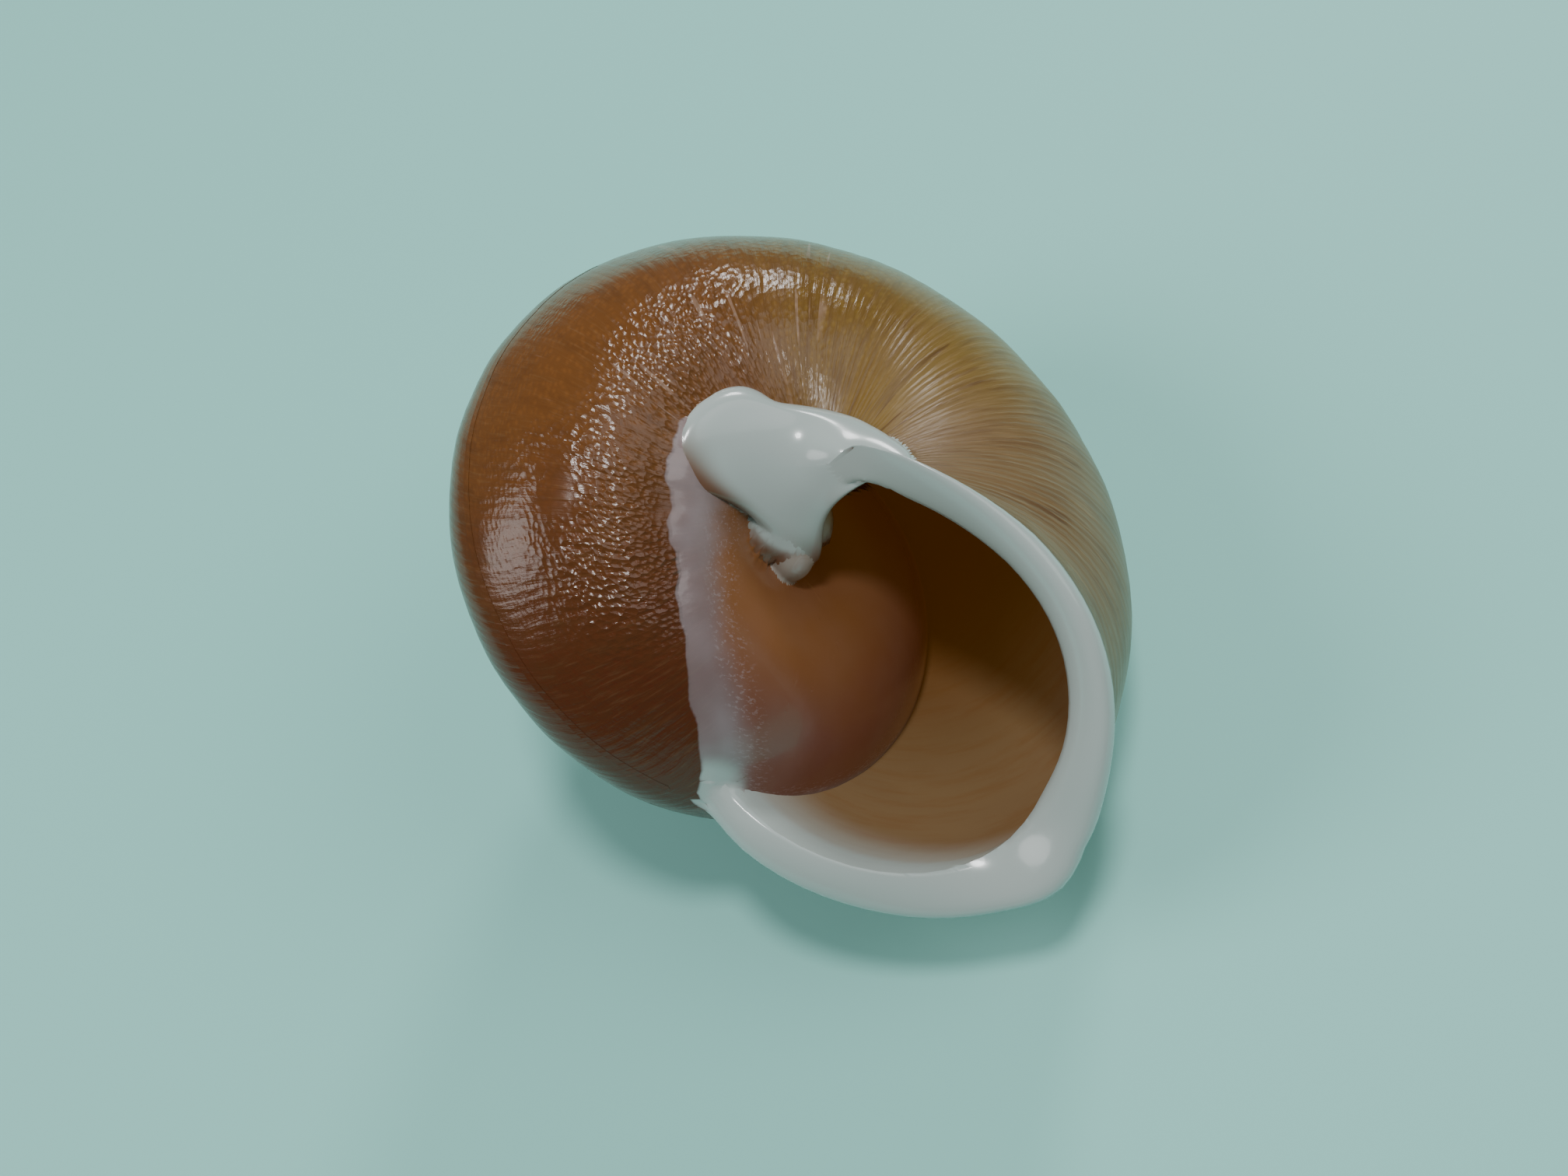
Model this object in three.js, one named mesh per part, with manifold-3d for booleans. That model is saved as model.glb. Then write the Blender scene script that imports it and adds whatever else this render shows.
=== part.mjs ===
// A left-handed land snail shell, grown as one piece: a tube that coils down from the apex,
// each whorl 1.57 times the size of the one before it, ending in a thick rolled lip.
// The shell is built about its own axis, with the apex at the origin and the mouth below it,
// and is then laid down in the pose in which it rests, on its spire and shoulder, mouth up.
// Millimetres, +Z up. The origin is on the ground, under the middle of the shell.
import * as THREE from "three";
import { mergeVertices } from "three/addons/utils/BufferGeometryUtils.js";
import Module from "manifold-3d";

// Growth of the tube
const WHORL_GROWTH = 1.57;
const HALF_TURNS = 9;
const HOLLOW_HALF_TURNS = 6;

// The first whorls are flatter than the rest: how far the apex is pressed down, and how far
// down the spire that is felt.
const SPIRE_DROP = 3.0;
const SPIRE_REACH = 11;

// The tube's section, all round from the outermost point of the whorl over the shoulder, the
// suture and the axis to the base. Each station gives its radius from the axis and its height
// below the apex at the lip, how far forward the lip reaches, and how far the lip flares out.
const STATIONS = [
  { name: "periphery", radius: 26.4, height: -32.6, lead: -36, flare: 1.9 },
  { name: "upper side", radius: 26.7, height: -28.1, lead: -28, flare: 1.4 },
  { name: "shoulder", radius: 23.6, height: -24.1, lead: -14, flare: 1.0 },
  { name: "suture", radius: 18.3, height: -21.0, lead: 4, flare: 0.8 },
  { name: "crown", radius: 11.6, height: -19.2, lead: 19, flare: 0.6 },
  { name: "inner crown", radius: 6.2, height: -20.6, lead: 27, flare: 0.2 },
  { name: "inner wall", radius: 3.6, height: -24.2, lead: 27, flare: 0.0 },
  { name: "upper pillar", radius: 2.0, height: -28.1, lead: 17, flare: 0.0 },
  { name: "pillar", radius: 0.9, height: -31.9, lead: -5, flare: 0.2 },
  { name: "pillar foot", radius: 0.5, height: -35.8, lead: -30, flare: 0.8 },
  { name: "navel", radius: 2.4, height: -39.5, lead: -48, flare: 1.5 },
  { name: "inner base", radius: 8.6, height: -41.8, lead: -53, flare: 1.9 },
  { name: "base", radius: 15.6, height: -42.1, lead: -49, flare: 2.2 },
  { name: "outer base", radius: 21.4, height: -39.6, lead: -43, flare: 2.4 },
  { name: "lower side", radius: 24.6, height: -35.9, lead: -39, flare: 2.3 },
];

// The wall and the rolled lip. A lip profile runs from its front edge back along the growth:
// the distance behind the edge, the share of the flare, and the distance out from the tube.
const WALL = 0.8;
const LIP_OUTSIDE = [
  { back: 4.6, share: 0, out: 0 },
  { back: 3.2, share: 0.12, out: 0 },
  { back: 2.1, share: 0.6, out: 0 },
  { back: 1.1, share: 1, out: 0 },
  { back: 0.3, share: 1, out: -0.3 },
  { back: 0, share: 1, out: -1.0 },
];
const LIP_INSIDE = [
  { back: 8.5, share: 0, out: -0.8 },
  { back: 4.2, share: 0, out: -1.4 },
  { back: 1.7, share: 0, out: -1.9 },
  { back: 0.7, share: 0, out: -1.6 },
  { back: 0.1, share: 0.5, out: -1.1 },
  { back: -1.2, share: 0.8, out: -0.9 },
];
const LEAST_ARC = 12;

// The white callus spread on the base of the whorl before the lip: its edge as a radius from
// the axis at each angle in degrees, its height, and the width of its rounded edge.
const CALLUS_EDGE = [
  [5, 18.0], [30, 12.5], [50, 9.7], [75, 8.8], [108, 8.8], [129, 7.5], [145, 6.0], [165, 4.7],
  [208, 4.0], [230, 2.0],
];
const CALLUS_THIN = 0.25;
const CALLUS_THICK = 0.8;
const CALLUS_ROUND = 1.4;

// The pad of lip that covers the navel, laid along the lip and facing out of the mouth, and
// the solid core of the pillar, as radius and height down the axis.
const PAD_CENTRE = new THREE.Vector3(-0.6, 1.4, -30.8);
const PAD_ALONG = new THREE.Vector3(0.2, -0.93, -0.31);
const PAD_FACE = new THREE.Vector3(0.43, 0.37, -0.82);
const PAD_HALF_SIZE = [5.2, 4.4, 2.2];
const CORE_PROFILE = [[0, -32], [2.3, -32], [2.6, -28.5], [1.6, -22], [0.3, -6], [0, -6]];

// The resting pose: the direction in the growing frame that points up, and the one that
// points to the front of the shell's own frame.
const REST_UP = new THREE.Vector3(-0.0415, 0.6468, -0.7615);
const REST_FRONT = new THREE.Vector3(0.42, 0.41, -0.81);

// Facets
const ROUND_OUTSIDE = 24;
const ROUND_INSIDE = 18;
const STEPS_LAST = 10;
const STEPS_FEWEST = 5;
const CUT_TOLERANCE = 0.03;
const TRIM_RINGS = 6;

const TWO_PI = 2 * Math.PI;
const TURN_RATE = Math.log(WHORL_GROWTH) / TWO_PI;

const wasm = await Module();
wasm.setup();

// A smooth closed curve through the stations' values, at the place s round the section.
function roundSection(key, s) {
  const count = STATIONS.length;
  let sum = 0;
  STATIONS.forEach((station, i) => {
    const x = s - (TWO_PI * i) / count;
    const half = Math.sin(x / 2);
    const weight = Math.abs(half) < 1e-9 ? 1 : Math.sin((count * x) / 2) / (count * half);
    sum += station[key] * weight;
  });
  return sum;
}

// One place round the section: its radius and height, the outward direction, and the lip there.
function sectionPlace(s) {
  const step = 1e-3;
  const dr = roundSection("radius", s + step) - roundSection("radius", s - step);
  const dz = roundSection("height", s + step) - roundSection("height", s - step);
  const length = Math.hypot(dr, dz);
  const radius = roundSection("radius", s);
  const height = roundSection("height", s);
  const along = Math.hypot(radius, TURN_RATE * Math.hypot(radius, height));
  return {
    radius,
    height,
    outR: dz / length,
    outZ: -dr / length,
    lead: THREE.MathUtils.degToRad(roundSection("lead", s)),
    flare: Math.max(0, roundSection("flare", s)),
    arc: Math.max(along, LEAST_ARC),
  };
}

function sectionPlaces(count) {
  return Array.from({ length: count }, (_, i) => sectionPlace((TWO_PI * i) / count));
}

// The point of the tube at the growth angle, moved out from the tube by a distance.
function tubePoint(place, growth, out) {
  const angle = growth + place.lead;
  const scale = Math.exp(TURN_RATE * angle);
  const radius = scale * place.radius + out * place.outR;
  const grown = scale * place.height + out * place.outZ;
  const height = grown - SPIRE_DROP * Math.exp(-((grown / SPIRE_REACH) ** 2));
  return new THREE.Vector3(radius * Math.cos(angle), radius * Math.sin(angle), height);
}

function smooth(x) {
  const c = Math.min(1, Math.max(0, x));
  return c * c * (3 - 2 * c);
}

// The callus edge's radius at an angle round the axis, in degrees, or 0 where there is none.
function callusRadius(degrees) {
  const after = CALLUS_EDGE.findIndex(([angle]) => angle > degrees);
  if (after < 1) return 0;
  const [a0, r0] = CALLUS_EDGE[after - 1];
  const [a1, r1] = CALLUS_EDGE[after];
  return r0 + ((r1 - r0) * (degrees - a0)) / (a1 - a0);
}

// How far the callus raises the outside of the shell at a point of the whorl before the lip.
function callusHeight(point, growth) {
  if (growth > -0.6 * Math.PI || growth < -2.1 * Math.PI) return 0;
  const degrees = (THREE.MathUtils.radToDeg(Math.atan2(point.y, point.x)) + 360) % 360;
  const inside = callusRadius(degrees) - Math.hypot(point.x, point.y);
  const thick = THREE.MathUtils.lerp(CALLUS_THIN, CALLUS_THICK, smooth((degrees - 40) / 60));
  return thick * smooth(inside / CALLUS_ROUND);
}

function outsideRing(places, growth) {
  return places.map((place) => {
    const point = tubePoint(place, growth, 0);
    return tubePoint(place, growth, callusHeight(point, growth));
  });
}

function insideRing(places, growth) {
  const wall = WALL * Math.exp(TURN_RATE * growth);
  return places.map((place) => tubePoint(place, growth, -wall));
}

function lipRing(places, profile) {
  return places.map((place) => {
    const out = profile.share * place.flare + profile.out;
    return tubePoint(place, -profile.back / place.arc, out);
  });
}

// The rings of one half turn of the tube, from the earlier end to the later.
function halfTurn(places, index, ring) {
  const steps = Math.max(STEPS_FEWEST, STEPS_LAST + 1 - index);
  const rings = [];
  for (let i = 0; i <= steps; i++) {
    rings.push(ring(places, (i / steps - index - 1) * Math.PI));
  }
  return rings;
}

// The rings of the last half turn, which close up evenly to where the lip's profile begins.
function lastHalfTurn(places, ring, profile) {
  const rings = [];
  for (let i = 0; i < STEPS_LAST; i++) {
    const left = 1 - i / STEPS_LAST;
    const row = places.map((place) => {
      const end = -profile[0].back / place.arc;
      return ring([place], end - (Math.PI + end) * left)[0];
    });
    rings.push(row);
  }
  profile.forEach((row) => rings.push(lipRing(places, row)));
  return rings;
}

function ringCentre(ring) {
  const centre = new THREE.Vector3();
  ring.forEach((point) => centre.addScaledVector(point, 1 / ring.length));
  return centre;
}

// A round end for the tube's first ring: smaller rings set back along the tube, and a pole.
function domeRings(places, growth, ring) {
  return [
    [0.62, 0.25],
    [0.42, 0.62],
    [0.2, 0.9],
  ].map(([back, size]) => {
    const whole = ring(places, growth - back);
    const centre = ringCentre(whole);
    return whole.map((point) => centre.clone().lerp(point, size));
  });
}

function solidFrom(geometry) {
  geometry.deleteAttribute("normal");
  geometry.deleteAttribute("uv");
  const merged = mergeVertices(geometry, 1e-5);
  const mesh = new wasm.Mesh({
    numProp: 3,
    vertProperties: merged.attributes.position.array,
    triVerts: new Uint32Array(merged.index.array),
    tolerance: CUT_TOLERANCE,
  });
  return new wasm.Manifold(mesh);
}

// A closed solid through rings of equal counts, with a fan over each end.
function loft(rings) {
  const count = rings[0].length;
  const points = rings.flat();
  const index = [];
  for (let r = 0; r + 1 < rings.length; r++) {
    for (let i = 0; i < count; i++) {
      const a = r * count + i;
      const b = r * count + ((i + 1) % count);
      index.push(a, a + count, b, b, a + count, b + count);
    }
  }
  const first = points.push(ringCentre(rings[0])) - 1;
  const last = points.push(ringCentre(rings[rings.length - 1])) - 1;
  const start = (rings.length - 1) * count;
  for (let i = 0; i < count; i++) {
    const next = (i + 1) % count;
    index.push(first, i, next, last, start + next, start + i);
  }
  const geometry = new THREE.BufferGeometry().setFromPoints(points);
  geometry.setIndex(index);
  return solidFrom(geometry);
}

function joined(solids) {
  return solids.reduce((whole, solid) => whole.add(solid));
}

// The rings of the tube's half turns, the lip's first and the round end's last.
function tubeRings(count, turns, ring, profile) {
  const places = sectionPlaces(count);
  const parts = [lastHalfTurn(places, ring, profile)];
  for (let index = 1; index < turns; index++) parts.push(halfTurn(places, index, ring));
  parts[turns - 1].unshift(...domeRings(places, -turns * Math.PI, ring));
  return parts;
}

// A half turn of the outside with the start of the next one, to trim what grows over it.
function reachingOn(outsides, index) {
  return [...outsides[index], ...outsides[index - 1].slice(1, 1 + TRIM_RINGS)];
}

// The pad over the navel: an egg-shaped body laid along the lip.
function padSolid() {
  const geometry = new THREE.SphereGeometry(1, 14, 10);
  geometry.scale(...PAD_HALF_SIZE);
  const along = PAD_ALONG.clone().normalize();
  const side = PAD_FACE.clone().cross(along).normalize();
  const face = along.clone().cross(side);
  geometry.applyMatrix4(new THREE.Matrix4().makeBasis(along, side, face));
  geometry.translate(PAD_CENTRE.x, PAD_CENTRE.y, PAD_CENTRE.z);
  return solidFrom(geometry);
}

// The core of the pillar: a slim turned body that closes the channel along the axis.
function coreSolid() {
  const profile = CORE_PROFILE.map(([radius, height]) => new THREE.Vector2(radius, height));
  const geometry = new THREE.LatheGeometry(profile, 12);
  geometry.rotateX(Math.PI / 2);
  return solidFrom(geometry);
}

// The largest body of a solid, without the specks that thin crossings leave.
function mainBody(solid) {
  return solid.decompose().reduce((main, body) => (body.volume() > main.volume() ? body : main));
}

function shellSolid() {
  const outsides = tubeRings(ROUND_OUTSIDE, HALF_TURNS, outsideRing, LIP_OUTSIDE);
  const insides = tubeRings(ROUND_INSIDE, HOLLOW_HALF_TURNS, insideRing, LIP_INSIDE);
  const solids = outsides.map(loft);
  const hollows = insides.map((rings, index) => {
    const before = loft(reachingOn(outsides, index + 2));
    return loft(rings).subtract(joined([before, ...solids.slice(index + 3)]));
  });
  const wall = joined(solids).subtract(joined(hollows));
  return mainBody(joined([wall, coreSolid(), padSolid()]));
}

function geometryOf(solid) {
  const mesh = solid.getMesh();
  const geometry = new THREE.BufferGeometry();
  geometry.setAttribute("position", new THREE.BufferAttribute(mesh.vertProperties, 3));
  geometry.setIndex(new THREE.BufferAttribute(mesh.triVerts, 1));
  return geometry;
}

// Turns the grown shell into its resting pose and sets it on the ground over the origin.
function layDown(geometry) {
  const up = REST_UP.clone().normalize();
  const right = REST_FRONT.clone().negate().cross(up).normalize();
  const back = up.clone().cross(right);
  const stand = new THREE.Matrix4().makeBasis(right, back, up).transpose();
  geometry.applyMatrix4(stand);
  geometry.computeBoundingBox();
  const box = geometry.boundingBox;
  const centre = box.getCenter(new THREE.Vector3());
  geometry.translate(-centre.x, -centre.y, -box.min.z);
  return geometry;
}

const shellMaterial = new THREE.MeshStandardMaterial({
  color: 0x7a4a26,
  roughness: 0.3,
  metalness: 0,
});
const shell = new THREE.Mesh(layDown(geometryOf(shellSolid())), shellMaterial);
shell.name = "shell";

const group = new THREE.Group();
group.add(shell);

export default group;
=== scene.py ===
import math

import bpy
import numpy as np
from mathutils import Euler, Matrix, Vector


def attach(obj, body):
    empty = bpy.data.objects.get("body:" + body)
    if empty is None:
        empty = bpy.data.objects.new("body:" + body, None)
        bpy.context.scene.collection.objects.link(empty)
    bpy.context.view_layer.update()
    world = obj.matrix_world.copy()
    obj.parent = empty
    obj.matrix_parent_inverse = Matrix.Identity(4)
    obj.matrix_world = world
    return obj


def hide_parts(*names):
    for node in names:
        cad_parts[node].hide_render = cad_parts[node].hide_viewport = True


bl_info = {
    "name": "Land snail shell",
    "version": (1, 0, 0),
    "blender": (4, 5, 0),
    "location": "3D View > Sidebar > Shell",
    "description": "Grows a left-handed land snail shell and sets a plain stage for it",
    "category": "Object",
}

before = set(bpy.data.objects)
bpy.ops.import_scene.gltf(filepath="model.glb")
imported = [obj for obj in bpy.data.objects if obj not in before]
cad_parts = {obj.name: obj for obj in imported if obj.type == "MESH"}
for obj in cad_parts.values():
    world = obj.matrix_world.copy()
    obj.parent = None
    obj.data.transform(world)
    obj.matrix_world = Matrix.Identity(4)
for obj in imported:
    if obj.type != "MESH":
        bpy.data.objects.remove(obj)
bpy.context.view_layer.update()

TURN = 2 * math.pi

# The whorl's section at the lip, from the outermost point over the shoulder, the suture and the
# axis to the base: radius from the axis and height below the apex in millimetres, how far
# forward the lip reaches in degrees, and how far the lip flares out in millimetres.
STATIONS = np.array(
    [
        (26.4, -32.6, -36, 1.9),
        (26.7, -28.1, -28, 1.4),
        (23.6, -24.1, -14, 1.0),
        (18.3, -21.0, 4, 0.8),
        (11.6, -19.2, 19, 0.6),
        (6.2, -20.6, 27, 0.2),
        (3.6, -24.2, 27, 0.0),
        (2.0, -28.1, 17, 0.0),
        (0.9, -31.9, -5, 0.2),
        (0.5, -35.8, -30, 0.8),
        (2.4, -39.5, -48, 1.5),
        (8.6, -41.8, -53, 1.6),
        (15.6, -42.1, -49, 1.35),
        (21.4, -39.6, -43, 1.4),
        (24.6, -35.9, -39, 1.75),
    ]
)

# The rolled lip's profile, from the back of the flare over the face and into the mouth:
# distance behind the front edge, share of the flare, and distance out from the tube.
LIP_PROFILE = np.array(
    [
        (5.4, 0.0, 0.0),
        (4.6, 0.02, 0.0),
        (4.0, 0.07, 0.0),
        (3.4, 0.18, 0.0),
        (2.9, 0.34, 0.0),
        (2.4, 0.54, 0.0),
        (2.0, 0.72, 0.0),
        (1.6, 0.88, 0.0),
        (1.25, 0.97, 0.02),
        (0.92, 1.0, 0.02),
        (0.62, 1.0, -0.05),
        (0.38, 1.0, -0.2),
        (0.2, 1.0, -0.42),
        (0.07, 1.0, -0.72),
        (0.0, 0.97, -1.05),
        (0.0, 0.8, -1.25),
        (0.06, 0.58, -1.4),
        (0.2, 0.36, -1.58),
        (0.45, 0.18, -1.8),
        (0.85, 0.06, -2.08),
        (1.4, 0.0, -2.4),
    ]
)

# The hollow's profile near the mouth, with the same columns.
MOUTH_PROFILE = np.array(
    [
        (12.0, 0.0, -0.8),
        (9.5, 0.0, -0.86),
        (7.6, 0.0, -1.0),
        (6.0, 0.0, -1.2),
        (4.6, 0.0, -1.42),
        (3.4, 0.0, -1.63),
        (2.4, 0.0, -1.78),
        (1.5, 0.0, -1.84),
        (0.7, 0.0, -1.84),
        (0.0, 0.0, -1.8),
        (-0.9, 0.0, -1.75),
        ]
)

# The least distance that a radian of growth counts for, in millimetres, so that the lip's
# profile stays short where it passes close to the axis.
LEAST_ARC = 12.0

# The callus spread over the base of the whorl before the lip: the angle round the axis in
# degrees and the radius of its edge in millimetres.
CALLUS_EDGE = np.array(
    [
        (-125, 40.0),
        (-40, 40.0),
        (-10, 24.0),
        (5, 18.0),
        (18, 15.0),
        (30, 12.6),
        (50, 9.9),
        (75, 8.9),
        (96, 9.1),
        (108, 8.7),
        (118, 8.4),
        (129, 7.0),
        (139, 5.6),
        (145, 5.3),
        (165, 4.1),
        (208, 3.2),
        (230, 1.2),
    ]
)

# The outline of the thick pad over the navel, from the lip round the lobe, back along the
# fold and up the side of the pillar: a place in millimetres, how far the pad stands out
# there, how deep it reaches in, and how white it is.
PAD_OUTLINE = np.array(
    [
        (-0.2, -4.0, -36.6, 0.3, 1.2, 1.0),
        (-1.5, -3.5, -35.8, 0.4, 1.2, 1.0),
        (-2.7, -2.7, -34.8, 0.5, 1.2, 1.0),
        (-3.7, -1.6, -34.0, 0.6, 1.2, 1.0),
        (-4.3, -0.2, -33.2, 0.6, 1.2, 1.0),
        (-4.6, 1.5, -32.5, 0.6, 1.2, 1.0),
        (-4.6, 3.0, -32.1, 0.6, 1.2, 1.0),
        (-5.2, 3.8, -32.0, 0.7, 1.0, 1.0),
        (-5.4, 5.0, -31.9, 0.7, 1.0, 1.0),
        (-5.0, 6.2, -31.6, 0.65, 1.0, 1.0),
        (-3.9, 7.5, -31.3, 0.55, 1.0, 0.95),
        (-2.6, 8.4, -30.9, 0.45, 0.9, 0.8),
        (-0.9, 8.7, -30.5, 0.25, 0.8, 0.35),
        (0.4, 8.0, -30.1, 0.12, 0.8, 0.05),
        (1.2, 6.6, -29.9, 0.1, 0.8, 0.0),
        (1.4, 4.8, -29.6, 0.12, 1.0, 0.1),
        (1.5, 3.3, -29.0, 0.25, 1.6, 0.5),
        (1.9, 2.2, -28.6, 0.3, 2.0, 0.85),
        (2.5, 1.0, -28.2, 0.3, 2.2, 0.9),
        (3.0, -0.8, -27.8, 0.25, 2.0, 0.5),
        (3.3, -2.3, -27.6, 0.1, 1.2, 0.1),
        (2.5, -2.1, -28.4, 0.1, 1.0, 0.5),
        (1.6, -1.5, -29.6, 0.15, 0.9, 0.9),
        (1.2, -1.2, -31.2, 0.2, 0.9, 1.0),
        (1.2, -1.2, -33.4, 0.2, 0.9, 1.0),
        (1.1, -1.7, -35.2, 0.2, 1.0, 1.0),
        (0.7, -3.0, -36.6, 0.2, 1.2, 1.0),
    ]
)

# The rounded end of the fold: a place and a size in millimetres.
FOLD_END = (2.6, -0.8, -26.6, 1.5)

# The way the pad faces.
PAD_FACE = Vector((0.423, 0.414, -0.806)).normalized()

# The core of the pillar: radius and height from its foot, under the pad, up to the apex.
CORE = [
    (0.8, -30.3),
    (1.2, -30.1),
    (1.5, -29.8),
    (1.7, -29.4),
    (1.95, -29.0),
    (2.6, -28.5),
    (3.2, -27.9),
    (3.5, -27.2),
    (2.6, -25.5),
    (1.5, -21.0),
    (0.3, -6.0),
]

# The core is white from its foot to this height, where it fades upwards over a span.
CORE_WHITE_TOP = -27.2
CORE_WHITE_SPAN = 1.6

# Places where white callus spreads over the skin: the lip's lower end and beside the pad.
LIP_END = (17.3, 2.6, -22.4, 3.6)
BESIDE_PAD = (-1.2, -0.5, -33.4, 4.5)

# Where the pad swells to meet the lip, how far it reaches and how much it rises.
PAD_SWELL = (-1.2, -0.5, -33.4, 1.6, 0.9)

# Places where joins are rounded off, with the reach of the rounding.
SOFT_PLACES = [
    (1.4, -1.6, -34.5, 2.6),
    (1.4, -1.4, -31.5, 2.4),
    (1.9, -0.6, -29.2, 2.6),
    (2.2, 1.2, -28.4, 2.4),
    (3.0, -2.3, -27.8, 1.8),
    (1.5, 2.8, -28.8, 2.2),
    (2.6, -0.8, -27.0, 2.6),
    (-1.2, -0.8, -34.0, 2.4),
    (0.6, -3.2, -36.4, 2.2),
    (-1.6, -3.4, -35.6, 1.4),
    (17.4, 2.2, -22.0, 2.8),
]

# The resting pose: the growing frame's directions that point up and to the front.
REST_UP = Vector((-0.0415, 0.6468, -0.7615)).normalized()
REST_FRONT = Vector((0.42, 0.41, -0.81))

# Rings in each half turn of the outside and of the hollow.
OUTSIDE_STEPS = 110
HOLLOW_STEPS = 44

# Lights: name, place, size across, power against the setting, and share of shine.
LIGHTS = [
    ("key", (0.052, -0.007, 0.497), 0.08, 1.5, 1.0),
    ("back", (0.285, 0.31, 0.265), 0.1, 1.2, 1.0),
    ("left", (-0.45, 0.1, 0.45), 0.35, 2.3, 0.04),
    ("right", (0.45, -0.1, 0.5), 0.5, 1.7, 0.06),
]
CAMERA_PLACE = (-0.002809, -0.056736, 0.111969)
CAMERA_TURN = Euler((math.radians(27.3178), math.radians(13.5304), math.radians(-25.1257)))
WORLD_COLOUR = (0.85, 0.95, 0.94, 1.0)
WORLD_STRENGTH = 0.17


class GrowthSettings(bpy.types.PropertyGroup):
    """How the shell grows"""

    whorl_growth: bpy.props.FloatProperty(
        name="Whorl growth",
        description="Size of each whorl against the one before it",
        default=1.57,
        min=1.2,
        max=2.5,
    )
    half_turns: bpy.props.IntProperty(
        name="Half turns",
        description="Half turns of the tube from the apex to the lip",
        default=9,
        min=4,
        max=12,
    )
    hollow_half_turns: bpy.props.IntProperty(
        name="Hollow half turns",
        description="Half turns behind the lip that are hollow",
        default=6,
        min=1,
        max=8,
    )
    wall: bpy.props.FloatProperty(
        name="Wall",
        description="Thickness of the wall near the lip, in millimetres",
        default=0.8,
        min=0.2,
        max=2.0,
    )
    spire_drop: bpy.props.FloatProperty(
        name="Spire drop",
        description="How far the apex is pressed down, in millimetres",
        default=3.0,
        min=0.0,
        max=8.0,
    )
    spire_reach: bpy.props.FloatProperty(
        name="Spire reach",
        description="How far down the spire the pressing is felt, in millimetres",
        default=11.0,
        min=1.0,
        max=30.0,
    )
    relief: bpy.props.FloatProperty(
        name="Relief",
        description="Depth of the growth waves and dents, against the usual",
        default=1.0,
        min=0.0,
        max=3.0,
    )
    round_outside: bpy.props.IntProperty(
        name="Outside points",
        description="Points round the section on the outside",
        default=96,
        min=24,
        max=144,
    )
    round_inside: bpy.props.IntProperty(
        name="Inside points",
        description="Points round the section of the hollow",
        default=72,
        min=18,
        max=120,
    )


def colour(name, description, value):
    """A colour setting."""
    return bpy.props.FloatVectorProperty(
        name=name, description=description, default=value, subtype="COLOR", size=3
    )


class ShellColours(bpy.types.PropertyGroup):
    """The colours of the skin, the lip and the mouth"""

    tan: colour("Tan", "Skin of the last part of the whorl", (0.22, 0.13, 0.052))
    olive: colour("Olive", "Skin behind the navel's lip", (0.25, 0.15, 0.025))
    orange: colour("Orange", "Skin of the body whorl", (0.21, 0.078, 0.017))
    russet: colour("Russet", "Skin of the whorl before the lip", (0.11, 0.022, 0.004))
    spire: colour("Spire", "Skin of the first whorls", (0.1, 0.04, 0.02))
    streak: colour("Streaks", "Darker lines along the growth", (0.1, 0.035, 0.008))
    pale: colour("Pale lines", "Fine paler growth lines", (0.42, 0.28, 0.13))
    scuff: colour("Scuffs", "Worn places of the skin", (0.5, 0.33, 0.24))
    lip: colour("Lip", "The rolled lip and the thick callus", (0.52, 0.6, 0.575))
    veil: colour("Veil", "The thin callus over the wall", (0.4, 0.34, 0.36))
    amber: colour("Amber", "The covered wall near the pillar", (0.21, 0.075, 0.015))
    wine: colour("Wine", "The covered wall further out", (0.13, 0.022, 0.012))
    ochre: colour("Ochre", "Inside of the outer wall", (0.42, 0.27, 0.015))
    fawn: colour("Fawn", "Inside of the wall towards the lip's foot", (0.25, 0.17, 0.09))
    deep: colour("Deep", "The far inside", (0.2, 0.065, 0.008))
    glow: colour("Glow", "Light through the wall into the mouth", (0.05, 0.017, 0.0016))
    gold: colour("Gold", "Light through the outer wall above", (0.3, 0.19, 0.012))


class StageSettings(bpy.types.PropertyGroup):
    """The floor, the lights and the camera"""

    floor: colour("Floor", "Colour of the floor", (0.37, 0.86, 0.78))
    lens: bpy.props.FloatProperty(
        name="Lens",
        description="Focal length of the camera",
        default=41.149,
        min=10.0,
        max=200.0,
        unit="CAMERA",
    )
    key: bpy.props.FloatProperty(
        name="Light",
        description="Power that the lights' shares are taken from",
        default=0.55,
        min=0.0,
        max=20.0,
        unit="POWER",
    )


def smooth(x):
    """0 up to 0, 1 from 1 on, and smooth on the way."""
    c = np.clip(x, 0.0, 1.0)
    return c * c * (3 - 2 * c)


def mixed(a, b, share):
    """a, going over to b as share goes from 0 to 1."""
    return a + (b - a) * share


# ---- the growing form -------------------------------------------------------------------


def around(column, s):
    """The smooth closed curve through one column of the stations, at the places s."""
    values = STATIONS[:, column]
    count = len(values)
    x = s[:, None] - TURN * np.arange(count) / count
    half = np.sin(x / 2)
    at_row = np.abs(half) < 1e-9
    weight = np.where(at_row, 1.0, np.sin(count * x / 2) / np.where(at_row, 1.0, count * half))
    return weight @ values


def facing(s, degrees, start, span):
    """1 for places round the section that face an angle, from its cosine's start over a span."""
    return smooth((np.cos(s - math.radians(degrees)) - start) / span)


def even_places(count):
    """Evenly spaced places round the section, as angles."""
    return TURN * np.arange(count) / count


def near(points, place_at):
    """1 at a place, falling to 0 at its reach."""
    gap = np.linalg.norm(points - np.array(place_at[:3]), axis=-1)
    return 1 - smooth((gap / place_at[3] - 0.25) / 0.75)


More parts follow.
